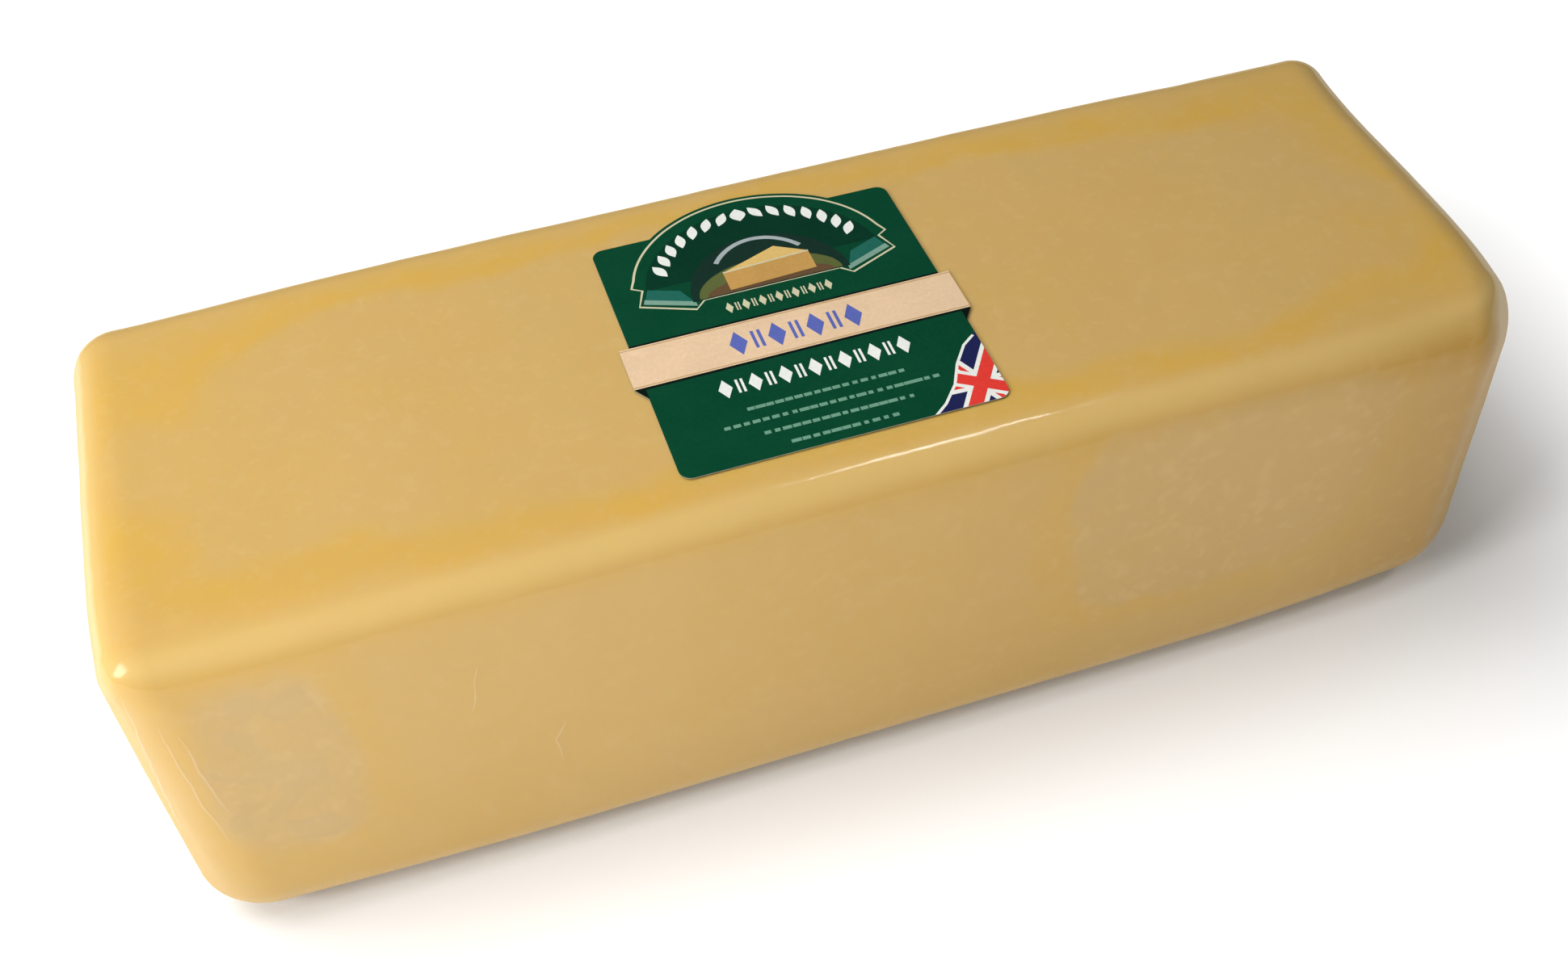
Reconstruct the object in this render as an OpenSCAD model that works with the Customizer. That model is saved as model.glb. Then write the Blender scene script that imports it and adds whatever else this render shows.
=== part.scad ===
// A long block of cheddar sealed in clear shrink film, with a die-cut label stuck on its top.
// The block lies along X, its front faces -Y, and its flat base rests at z = 0.

/* [Block] */
// Overall length of the sealed block, along X
block_length = 355; // [240:1:480]
// Overall width, along Y
block_width = 124.5; // [100:0.5:200]
// Overall height, without the label
block_height = 107; // [85:1:180]

/* [Long edges] */
// Rounding of the top edge at the front
front_edge_radius = 14; // [6:0.5:24]
// Rounding of the top edge at the back
back_edge_radius = 10; // [6:0.5:24]
// Rounding of both edges of the base
base_edge_radius = 17.5; // [6:0.5:24]

/* [Corners] */
// Rounding of the left end's top corner at the front
left_front_radius = 12; // [6:0.5:30]
// Rounding of the left end's top corner at the back
left_back_radius = 12.5; // [6:0.5:30]
// Rounding of the left end's two base corners
left_base_radius = 18.5; // [6:0.5:30]
// Rounding of the right end's top corner at the front
right_front_radius = 20; // [6:0.5:30]
// Rounding of the right end's top corner at the back
right_back_radius = 11.5; // [6:0.5:30]
// Rounding of the right end's two base corners
right_base_radius = 24; // [6:0.5:30]

/* [Unevenness] */
// Bulge of the top face at its middle
top_crown = 1; // [0:0.1:4]
// Bulge of the front and back faces at their middles
side_crown = 0.6; // [0:0.1:4]
// Bulge of the two end faces at their middles
end_crown = 0.3; // [0:0.1:4]
// Extra height at mid length
middle_rise = 0.8; // [0:0.1:3]
// How far the foot of the right end stands out past its top
right_end_lean = 2.5; // [-6:0.1:12]
// How far the top leans to the back, over the whole height
back_lean = 1.1; // [-4:0.1:4]
// Droop of the top front edge at the right end
front_edge_sag = 1.8; // [0:0.1:5]
// How far the left front upright corner is pressed in
left_front_press = 1.4; // [-3:0.1:4]
// How far the right front upright corner is pressed in
right_front_press = 2.5; // [-3:0.1:4]
// How far the right back upright corner stands out
right_back_bulge = 1.8; // [-3:0.1:4]

/* [Label] */
// Width of the label between its straight sides
label_width = 79.5; // [50:0.5:100]
// Height of the label between its straight edges, along Y
label_height = 85.5; // [50:0.5:105]
// Rounding of the label's four corners
label_corner_radius = 3; // [1:0.5:8]
// How far the label's middle lies to the left of the block's
label_shift_left = 5.2; // [-60:0.1:60]
// How far the label's middle lies in front of the block's
label_shift_front = 4.5; // [-12:0.1:12]
// Thickness of the label
label_thickness = 0.25; // [0.2:0.05:1]
// Clearance between the film and the label's underside
label_clearance = 0.12; // [0.04:0.02:0.5]

/* [Label outline] */
// Half width of the arch that the top edge is cut to
arch_half_width = 34.7; // [20:0.1:48]
// Height of the arch above its own centre line
arch_rise = 32; // [16:0.5:40]
// How far the arch stands above the label's straight top edge
arch_overhang = 9; // [2:0.5:12]
// How far the band's ends stand out past the label's sides
band_overhang = 2.6; // [1:0.1:6]
// Width of the band, along Y
band_width = 14.5; // [8:0.5:24]
// Distance from the label's middle up to the band's top edge
band_top = 3.5; // [-10:0.5:12]
// Depth of the folded tips below the band's ends
fold_depth = 4; // [1:0.5:8]

/* [Hidden] */

face_steps_long = 24;   // grid steps along the flat part of the length
face_steps = 8;         // grid steps across the flat part of the width and the height
fillet_steps = 6;       // grid steps over half a rounded edge
blend_start = 0.55;     // where an edge's rounding starts to change into the corner's
blend_end = 1;          // where it has changed
press_start_long = 0.7; // share of the half length where a pressed corner starts
press_start = 0.45;     // share of the half width where it starts
press_share = 0.6;      // a pressed corner moves this much less across than along
sag_start_long = 0.3;   // share of the half length where the droop starts
sag_start = 0.2;        // share of the half width where the droop starts
label_columns = 30;     // grid steps along the label, between its straight sides
edge_rows = 5;          // close grid steps next to each of the label's long edges
edge_row = 2;           // width of each, close enough to follow a rounded edge
inner_rows = 3;         // grid steps from there to the band
band_rows = 3;          // grid steps across the band and its folded tips
rounding_tries = 4;     // repeats that find the rounding under a point of the label

size = [block_length, block_width, block_height];
half = size / 2;
label_centre = [-label_shift_left, -label_shift_front];

// ---- Helpers

function clip(t) = min(max(t, 0), 1);
function smooth(from, to, t) = let (s = clip((t - from) / (to - from))) s * s * (3 - 2 * s);
function mix(a, b, t) = a + (b - a) * t;

// Grid positions from -2 to 2: a flat face runs from -1 to 1, and its rounded edges beyond
function grid_line(steps) = [
    for (i = [0 : fillet_steps - 1]) -2 + i / fillet_steps,
    for (i = [0 : steps]) -1 + 2 * i / steps,
    for (i = [1 : fillet_steps]) 1 + i / fillet_steps
];

// ---- Form of the block, as a function of a grid position q on the surface of a cube

// Rounding at q: the long edges' own, changing into the corners' own towards the ends
function rounding(q) = let (
        front = (1 - q.y / 2) / 2,
        upper = (1 + q.z / 2) / 2,
        right = (1 + q.x / 2) / 2,
        edge = mix(base_edge_radius, mix(back_edge_radius, front_edge_radius, front), upper),
        left_end = mix(left_base_radius, mix(left_back_radius, left_front_radius, front), upper),
        right_end = mix(right_base_radius, mix(right_back_radius, right_front_radius, front), upper)
    ) mix(edge, mix(left_end, right_end, right), smooth(blend_start, blend_end, abs(q.x)));

// Distance from the middle along one axis: even over the face, by equal angles over the edge
function reach(t, core, r) = t <= 1 ? t * core : core + r * tan(45 * (t - 1));

function rounded_box(q) = let (
        r = rounding(q),
        p = [for (i = [0 : 2]) reach(abs(q[i]), half[i] - r, r)],
        core = [for (i = [0 : 2]) min(p[i], half[i] - r)],
        out = core + r * (p - core) / norm(p - core)
    ) [for (i = [0 : 2]) sign(q[i]) * out[i]];
function outward(q) = let (
        r = rounding(q),
        past = [for (i = [0 : 2]) sign(q[i]) * max(reach(abs(q[i]), half[i] - r, r) - half[i] + r, 0)]
    ) past / norm(past);

// Lift of the top face at n, where n runs from -1 to 1 over the length and the width
function top_lift(n) = top_crown * (1 - n.x ^ 2) * (1 - n.y ^ 2) + middle_rise * (1 - n.x ^ 2)
    - front_edge_sag * smooth(sag_start_long, 1, n.x) * smooth(sag_start, 1, -n.y);

// Share of a corner's press that reaches n, for the corner on side s
function at_corner(n, s) = smooth(press_start_long, 1, s.x * n.x) * smooth(press_start, 1, s.y * n.y);

function pressed(n) = left_front_press * at_corner(n, [-1, -1]) * [1, press_share, 0]
    + right_front_press * at_corner(n, [1, -1]) * [-1, press_share, 0]
    + right_back_bulge * at_corner(n, [1, 1]) * [1, press_share, 0];

function uneven(p) = let (
        n = [for (i = [0 : 2]) p[i] / half[i]],
        upper = (1 + n.z) / 2,
        foot = right_end_lean * clip(n.x) ^ 2 * (1 - upper)
    ) p + pressed(n) + [
        end_crown * n.x * (1 - n.y ^ 2) * (1 - n.z ^ 2) + foot,
        n.y * side_crown * (1 - n.x ^ 2) * (1 - n.z ^ 2) + back_lean * n.z / 2,
        top_lift(n) * upper
    ];

// ---- Grid on the cube's surface: two full end grids, and a ring of points at each step between

lines = [grid_line(face_steps_long), grid_line(face_steps), grid_line(face_steps)];
nx = len(lines[0]) - 1;
ny = len(lines[1]) - 1;
nz = len(lines[2]) - 1;
end_points = (ny + 1) * (nz + 1);
ring_points = 2 * (ny + nz);

function ring_place(j, k) = k == 0 ? j : j == ny ? ny + k : k == nz ? 2 * ny + nz - j : 2 * (ny + nz) - k;
function ring_cell(m) = m <= ny ? [m, 0] : m <= ny + nz ? [ny, m - ny]
    : m <= 2 * ny + nz ? [2 * ny + nz - m, nz] : [0, ring_points - m];
function index(i, j, k) = i == 0 ? j * (nz + 1) + k
    : i == nx ? end_points + (nx - 1) * ring_points + j * (nz + 1) + k
    : end_points + (i - 1) * ring_points + ring_place(j, k);
function end_grid(i) = [for (j = [0 : ny], k = [0 : nz]) [lines[0][i], lines[1][j], lines[2][k]]];

cells = concat(
    end_grid(0),
    [for (i = [1 : nx - 1], m = [0 : ring_points - 1]) let (c = ring_cell(m))
        [lines[0][i], lines[1][c.x], lines[2][c.y]]],
    end_grid(nx)
);

// One grid square as two triangles, turned over on request
function square(a, b, c, d, turn) = turn ? [[a, d, c], [a, c, b]] : [[a, b, c], [a, c, d]];

block_faces = [
    for (i = [0, nx], j = [0 : ny - 1], k = [0 : nz - 1])
        each square(index(i, j, k), index(i, j + 1, k), index(i, j + 1, k + 1), index(i, j, k + 1), i == nx),
    for (j = [0, ny], i = [0 : nx - 1], k = [0 : nz - 1])
        each square(index(i, j, k), index(i, j, k + 1), index(i + 1, j, k + 1), index(i + 1, j, k), j == ny),
    for (k = [0, nz], i = [0 : nx - 1], j = [0 : ny - 1])
        each square(index(i, j, k), index(i + 1, j, k), index(i + 1, j + 1, k), index(i, j + 1, k), k == nz)
];

// The uneven form is scaled and moved to fill exactly the named overall size
raw_points = [for (q = cells) uneven(rounded_box(q))];
low_corner = [for (i = [0 : 2]) min([for (p = raw_points) p[i]])];
high_corner = [for (i = [0 : 2]) max([for (p = raw_points) p[i]])];
fit_scale = [for (i = [0 : 2]) size[i] / (high_corner[i] - low_corner[i])];
fit_middle = (low_corner + high_corner) / 2;

function fitted(p) = [for (i = [0 : 2]) (p[i] - fit_middle[i]) * fit_scale[i]] + [0, 0, half.z];

// ---- The label is laid along the block's own surface, so it follows every size of the block

// Grid position at d, measured along the surface from the middle of the top
function laid(d, r) = let (
        past = abs(d.y) - half.y + r,
        turn = 180 / PI * past / r,
        down = past - PI / 2 * r
    ) [
        d.x / (half.x - r),
        past <= 0 ? d.y / (half.y - r) : sign(d.y) * (1 + min(turn / 45, 1)),
        past <= 0 || turn <= 45 ? 2 : down <= 0 ? 3 - turn / 45 : 1 - down / (half.z - r)
    ];
function laid_cell(d, r, tries) = let (q = laid(d, r)) tries == 0 ? q : laid_cell(d, rounding(q), tries - 1);

// Point of the label at place, lifted off the film along the block's own outward direction
function on_block(place, lift) = let (
        d = [place.x / fit_scale.x + fit_middle.x, place.y / fit_scale.y + fit_middle.y - back_lean / 2],
        q = laid_cell(d, front_edge_radius, rounding_tries)
    ) fitted(uneven(rounded_box(q))) + lift * outward(q);

// ---- Label outline: a lowest and a highest y for each x, measured from the label's middle

label_half = [label_width, label_height] / 2;
label_end = label_half.x + band_overhang;
arch_centre_y = label_half.y + arch_overhang - arch_rise;
band_base = band_top - band_width;

function corner_cut(x) = let (d = max(abs(x) - label_half.x + label_corner_radius, 0))
    label_corner_radius - sqrt(max(label_corner_radius ^ 2 - d ^ 2, 0));
function arch_top(x) = arch_centre_y + arch_rise * sqrt(max(1 - (x / arch_half_width) ^ 2, 0));
function outline_high(x) = max(label_half.y - corner_cut(x), arch_top(x));
function outline_low(x) = corner_cut(x) - label_half.y;

// Columns lie closer together towards the rounded corners, and one more lies at each end of the band
inner_columns = [for (i = [0 : label_columns]) -label_half.x * cos(180 * i / label_columns)];
side_rows = edge_rows + inner_rows;
label_rows = 2 * side_rows + band_rows;
band_rows_from = side_rows;
band_rows_to = side_rows + band_rows;

// Rows lie closer together next to the edges, where the label may pass over the block's rounding
function from_edge(k, edge, band) = let (
        row = min(edge_row, abs(band - edge) / side_rows) * sign(band - edge)
    ) k <= edge_rows ? edge + k * row : mix(edge + edge_rows * row, band, (k - edge_rows) / inner_rows);
function row_y(x, j) = let (fold = band_base - fold_depth * clip((label_end - abs(x)) / band_overhang))
    j < band_rows_from ? from_edge(j, outline_low(x), fold)
    : j > band_rows_to ? from_edge(label_rows - j, outline_high(x), band_top)
    : mix(fold, band_top, (j - band_rows_from) / band_rows);

function label_point(x, j, lift) = on_block([x, row_y(x, j)] + label_centre, lift);
label_points = [for (lift = [label_clearance, label_clearance + label_thickness]) each concat(
    [for (x = inner_columns, j = [0 : label_rows]) label_point(x, j, lift)],
    [for (x = [-label_end, label_end], j = [band_rows_from : band_rows_to]) label_point(x, j, lift)]
)];
inner_points = (label_columns + 1) * (label_rows + 1);
layer_points = inner_points + 2 * (band_rows + 1);

// Column -1 is the band's left end, and the one after the last inner column is its right end
function label_index(i, j, layer) = layer * layer_points + (i < 0 ? inner_points + j - band_rows_from
    : i > label_columns ? inner_points + band_rows + 1 + j - band_rows_from
    : i * (label_rows + 1) + j);

inner_cells = [for (i = [0 : label_columns - 1], j = [0 : label_rows - 1]) [i, j]];
end_cells = [for (i = [-1, label_columns], j = [band_rows_from : band_rows_to - 1]) [i, j]];
// Each wall is a column, a row and whether it faces the other way
long_walls = concat(
    [for (i = [0 : label_columns - 1], j = [0, label_rows]) [i, j, j > 0]],
    [for (i = [-1, label_columns], j = [band_rows_from, band_rows_to]) [i, j, j > band_rows_from]]
);
short_walls = concat(
    [for (i = [0, label_columns], j = [0 : label_rows - 1]) if (j < band_rows_from || j >= band_rows_to)
        [i, j, i > 0]],
    [for (i = [-1, label_columns + 1], j = [band_rows_from : band_rows_to - 1]) [i, j, i > 0]]
);
label_faces = [
    for (layer = [0, 1], c = concat(inner_cells, end_cells))
        each square(label_index(c[0], c[1], layer), label_index(c[0] + 1, c[1], layer),
            label_index(c[0] + 1, c[1] + 1, layer), label_index(c[0], c[1] + 1, layer), layer == 1),
    for (w = long_walls)
        each square(label_index(w[0], w[1], 0), label_index(w[0], w[1], 1),
            label_index(w[0] + 1, w[1], 1), label_index(w[0] + 1, w[1], 0), w[2]),
    for (w = short_walls)
        each square(label_index(w[0], w[1], 0), label_index(w[0], w[1] + 1, 0),
            label_index(w[0], w[1] + 1, 1), label_index(w[0], w[1], 1), w[2])
];

// ---- Pieces

// The cheddar with the clear film that clings to it
module sealed_block() {
    color([0.84, 0.69, 0.42]) polyhedron([for (p = raw_points) fitted(p)], block_faces);
}

// The printed label on the film's top face
module label() {
    color([0.08, 0.3, 0.2]) polyhedron(label_points, label_faces);
}

sealed_block();
label();
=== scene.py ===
import math
import bpy
from mathutils import Matrix, Vector
from mathutils.bvhtree import BVHTree
from mathutils.geometry import delaunay_2d_cdt


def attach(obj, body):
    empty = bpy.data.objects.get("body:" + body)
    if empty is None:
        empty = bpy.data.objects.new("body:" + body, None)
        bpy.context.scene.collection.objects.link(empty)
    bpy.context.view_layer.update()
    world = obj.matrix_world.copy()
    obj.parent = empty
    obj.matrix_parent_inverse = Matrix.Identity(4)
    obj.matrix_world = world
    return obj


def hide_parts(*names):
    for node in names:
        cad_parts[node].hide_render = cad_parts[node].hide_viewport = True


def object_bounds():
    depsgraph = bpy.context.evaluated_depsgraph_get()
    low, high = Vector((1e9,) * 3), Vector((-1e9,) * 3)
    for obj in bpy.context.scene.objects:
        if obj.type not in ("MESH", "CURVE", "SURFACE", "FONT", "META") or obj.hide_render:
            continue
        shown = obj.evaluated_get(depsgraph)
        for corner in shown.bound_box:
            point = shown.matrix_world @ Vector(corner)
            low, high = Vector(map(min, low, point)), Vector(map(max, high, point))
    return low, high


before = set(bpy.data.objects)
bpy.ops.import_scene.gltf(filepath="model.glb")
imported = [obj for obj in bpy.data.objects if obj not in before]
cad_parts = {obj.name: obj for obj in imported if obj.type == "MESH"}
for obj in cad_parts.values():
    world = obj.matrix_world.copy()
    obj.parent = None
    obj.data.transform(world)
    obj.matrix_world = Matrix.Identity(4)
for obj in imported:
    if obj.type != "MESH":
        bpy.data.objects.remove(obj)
cadSize = [list(corner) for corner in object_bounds()]
mm = 0.001

# Formulas as node networks: a Num is one number in a tree, and the usual signs add nodes to it


class Num:
    def __init__(self, tree, socket):
        self.tree = tree
        self.socket = socket

    def __add__(self, other):
        return mathNode("ADD", self, other)

    def __radd__(self, other):
        return mathNode("ADD", self, other)

    def __sub__(self, other):
        return mathNode("SUBTRACT", self, other)

    def __rsub__(self, other):
        return mathNode("SUBTRACT", other, self, self.tree)

    def __mul__(self, other):
        return mathNode("MULTIPLY", self, other)

    def __rmul__(self, other):
        return mathNode("MULTIPLY", self, other)

    def __truediv__(self, other):
        return mathNode("DIVIDE", self, other)

    def __rtruediv__(self, other):
        return mathNode("DIVIDE", other, self, self.tree)

    def __pow__(self, other):
        return mathNode("POWER", self, other)

    def __neg__(self):
        return mathNode("MULTIPLY", self, -1)


def put(tree, socket, value):
    if isinstance(value, (Num, bpy.types.NodeSocket)):
        tree.links.new(value.socket if isinstance(value, Num) else value, socket)
    else:
        socket.default_value = value


def mathNode(operation, a, b=None, tree=None):
    tree = tree or a.tree
    node = tree.nodes.new("ShaderNodeMath")
    node.operation = operation
    put(tree, node.inputs[0], a)
    if b is not None:
        put(tree, node.inputs[1], b)
    return Num(tree, node.outputs[0])


def smaller(a, b):
    return mathNode("MINIMUM", a, b)


def larger(a, b):
    return mathNode("MAXIMUM", a, b)


def between(a, low=0, high=1):
    return smaller(larger(a, low), high)


def mix(a, b, share):
    return (b - a) * share + a


def ramp(value, low, high, toLow=0.0, toHigh=1.0, smooth=True):
    tree = value.tree
    node = tree.nodes.new("ShaderNodeMapRange")
    node.interpolation_type = "SMOOTHSTEP" if smooth else "LINEAR"
    put(tree, node.inputs["Value"], value)
    for name, given in (("From Min", low), ("From Max", high), ("To Min", toLow), ("To Max", toHigh)):
        put(tree, node.inputs[name], given)
    return Num(tree, node.outputs["Result"])


def parts(tree, vector):
    node = tree.nodes.new("ShaderNodeSeparateXYZ")
    put(tree, node.inputs[0], vector)
    return [Num(tree, output) for output in node.outputs]


def joined(tree, x, y, z):
    node = tree.nodes.new("ShaderNodeCombineXYZ")
    for socket, value in zip(node.inputs, (x, y, z)):
        put(tree, socket, value)
    return node.outputs[0]


def vectorNode(tree, operation, a, b=None):
    node = tree.nodes.new("ShaderNodeVectorMath")
    node.operation = operation
    put(tree, node.inputs[0], a)
    if b is not None:
        put(tree, node.inputs["Scale" if operation == "SCALE" else 1], b)
    return node.outputs["Value" if operation in ("LENGTH", "DOT_PRODUCT", "DISTANCE") else "Vector"]


def noise(tree, vector, size, detail=2.0, rough=0.5, seed=0.0):
    node = tree.nodes.new("ShaderNodeTexNoise")
    put(tree, node.inputs["Vector"], vectorNode(tree, "ADD", vector, (seed, seed, seed)))
    put(tree, node.inputs["Scale"], 1 / size)
    put(tree, node.inputs["Detail"], detail)
    put(tree, node.inputs["Roughness"], rough)
    return Num(tree, node.outputs[0])


# Geometry Nodes: a new tree with named inputs, and its finished mesh as a plain object


def newTree(name, floats=(), objects=()):
    tree = bpy.data.node_groups.new(name, "GeometryNodeTree")
    tree.interface.new_socket("Geometry", in_out="OUTPUT", socket_type="NodeSocketGeometry")
    tree.interface.new_socket("Geometry", in_out="INPUT", socket_type="NodeSocketGeometry")
    for title in floats:
        tree.interface.new_socket(title, in_out="INPUT", socket_type="NodeSocketFloat")
    for title in objects:
        tree.interface.new_socket(title, in_out="INPUT", socket_type="NodeSocketObject")
    tree.interface.new_socket("Finish", in_out="INPUT", socket_type="NodeSocketMaterial")
    source = tree.nodes.new("NodeGroupInput")
    given = {s.name: (Num(tree, s) if s.type == "VALUE" else s) for s in source.outputs if s.name}
    return tree, given


def link(tree, output, socket):
    tree.links.new(output, socket)


def endTree(tree, given, geometry, smooth=True):
    realize = tree.nodes.new("GeometryNodeRealizeInstances")
    link(tree, geometry, realize.inputs[0])
    shade = tree.nodes.new("GeometryNodeSetShadeSmooth")
    link(tree, realize.outputs[0], shade.inputs["Geometry"])
    shade.inputs["Shade Smooth"].default_value = smooth
    finish = tree.nodes.new("GeometryNodeSetMaterial")
    link(tree, shade.outputs[0], finish.inputs["Geometry"])
    link(tree, given["Finish"], finish.inputs["Material"])
    end = tree.nodes.new("NodeGroupOutput")
    link(tree, finish.outputs[0], end.inputs[0])


def grown(name, tree, values, start=None):
    piece = bpy.data.objects.new(name, start or bpy.data.meshes.new(name))
    bpy.context.scene.collection.objects.link(piece)
    modifier = piece.modifiers.new(tree.name, "NODES")
    modifier.node_group = tree
    sockets = {s.name: s.identifier for s in tree.interface.items_tree if s.in_out == "INPUT"}
    for given, value in values.items():
        modifier[sockets[given]] = value
    bpy.context.view_layer.update()
    mesh = bpy.data.meshes.new_from_object(piece.evaluated_get(bpy.context.evaluated_depsgraph_get()))
    piece.modifiers.clear()
    piece.data = mesh
    mesh.name = name
    print(name, len(mesh.polygons), "faces")
    return piece


# The block's form, in mm, by the same rules as the CAD part: a cube's surface becomes a rounded, uneven box

blockForm = {
    "length": 355, "width": 124.5, "height": 107,
    "front edge": 14, "back edge": 10, "base edge": 17.5,
    "left front": 12, "left back": 12.5, "left base": 18.5,
    "right front": 20, "right back": 11.5, "right base": 24,
    "top crown": 1, "side crown": 0.6, "end crown": 0.3, "middle rise": 0.8,
    "right end lean": 2.5, "back lean": 1.1, "front edge sag": 1.8,
    "left front press": 1.4, "right front press": 2.5, "right back bulge": 1.8,
    "inset": 0, "swell": 0.22, "swell size": 55, "ripple": 0.05, "ripple size": 7,
}
blockGrid = {"cells": (178, 64, 56), "edgeShare": (0.09, 0.26, 0.29)}


def roundedPoint(tree, q, half, given):
    front = 0.5 - q[1] / 4
    upper = q[2] / 4 + 0.5
    right = q[0] / 4 + 0.5
    edge = mix(given["base edge"], mix(given["back edge"], given["front edge"], front), upper)
    left = mix(given["left base"], mix(given["left back"], given["left front"], front), upper)
    other = mix(given["right base"], mix(given["right back"], given["right front"], front), upper)
    radius = mix(edge, mix(left, other, right), ramp(mathNode("ABSOLUTE", q[0]), 0.55, 1))
    core, past = [], []
    for along, size in zip(q, half):
        step = mathNode("ABSOLUTE", along)
        flat = size - radius
        turn = mathNode("TANGENT", larger(step - 1, 0) * (math.pi / 4))
        core.append(smaller(step, 1) * flat)
        past.append(turn * radius)
    length = Num(tree, vectorNode(tree, "LENGTH", joined(tree, *past)))
    return [mathNode("SIGN", a) * (c + p * radius / length) for a, c, p in zip(q, core, past)]


def unevenPoint(p, half, given):
    nx, ny, nz = [a / b for a, b in zip(p, half)]
    upper = nz / 2 + 0.5
    longBow = 1 - nx * nx
    wideBow = 1 - ny * ny
    highBow = 1 - nz * nz

    def corner(x, y):
        return ramp(nx * x, 0.7, 1) * ramp(ny * y, 0.45, 1)

    leftFront = given["left front press"] * corner(-1, -1)
    rightFront = given["right front press"] * corner(1, -1)
    rightBack = given["right back bulge"] * corner(1, 1)
    foot = given["right end lean"] * between(nx) ** 2 * (1 - upper)
    lift = given["top crown"] * longBow * wideBow + given["middle rise"] * longBow
    lift = lift - given["front edge sag"] * ramp(nx, 0.3, 1) * ramp(-ny, 0.2, 1)
    x = p[0] + leftFront - rightFront + rightBack + given["end crown"] * nx * wideBow * highBow + foot
    y = p[1] + (leftFront + rightFront + rightBack) * 0.6
    y = y + ny * given["side crown"] * longBow * highBow + given["back lean"] * nz / 2
    return x, y, p[2] + lift * upper


# what marks the block's surface, in mm: how far the patches' edges wander, and the size of each pattern
blockMarks = {"wander": 20, "wanderSize": 30, "broadSize": 48, "patchySize": 14, "mostRelief": 0.35}

# where painted shade darkens the front towards its right end: from and to along the block in mm, and how
# much
paintedShadeSpans = [(-70, 50, 0.24), (105, 174, 0.7)]

# each loose patch of the film: its face, its middle and half size in mm, how much it shows,
# how soft its edge is in mm, and how yellow the ring round it is
filmPatches = [
    ("top", (-2, -1), (156, 42), 0.35, 3.5, 1),
    ("top", (166, 4), (4, 34), 0.5, 2.5, 0.2),
    ("front", (-146, 64), (16, 30), 1, 2, 0.3),
    ("front", (88, 69), (41, 33), 0.6, 1.2, 0.6),
    ("back", (30, 58), (120, 28), 0.6, 3.5, 0.8),
    ("left", (2, 56), (38, 30), 0.6, 3, 0.5),
    ("right", (-3, 54), (36, 30), 0.6, 3, 0.6),
]


def patchShare(tree, place, facing, wander):
    x, y, z = parts(tree, place)
    fx, fy, fz = parts(tree, facing)
    sides = {
        "top": (x, y, ramp(fz, 0.8, 0.97)),
        "front": (x, z, ramp(-fy, 0.8, 0.97)),
        "back": (x, z, ramp(fy, 0.8, 0.97)),
        "left": (y, z, ramp(-fx, 0.8, 0.97)),
        "right": (y, z, ramp(fx, 0.8, 0.97)),
    }
    inside, ring = None, None
    for side, middle, half, shows, soft, yellow in filmPatches:
        across, up, faces = sides[side]
        a = mathNode("ABSOLUTE", (across - middle[0] * mm) / (half[0] * mm))
        b = mathNode("ABSOLUTE", (up - middle[1] * mm) / (half[1] * mm))
        reach = mathNode("POWER", mathNode("POWER", a, 4.0) + mathNode("POWER", b, 4.0), 0.25)
        # how far past the patch's edge, in metres: a small patch's edge wanders less
        gap = (reach - 1) * (min(half) * mm) + wander * min(1, min(half) / 40)
        patch = (1 - ramp(gap, -soft * mm, soft * mm)) * faces * shows
        halo = ramp(gap, -soft * mm, soft * mm) * (1 - ramp(gap, 5 * mm, 13 * mm)) * faces * yellow
        inside = patch if inside is None else larger(inside, patch)
        ring = halo if ring is None else larger(ring, halo)
    return inside, ring * (1 - inside)


def stored(tree, geometry, name, value):
    node = tree.nodes.new("GeometryNodeStoreNamedAttribute")
    node.data_type = "FLOAT"
    node.domain = "POINT"
    link(tree, geometry, node.inputs["Geometry"])
    put(tree, node.inputs["Name"], name)
    put(tree, node.inputs["Value"], value)
    return node.outputs[0]


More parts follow.
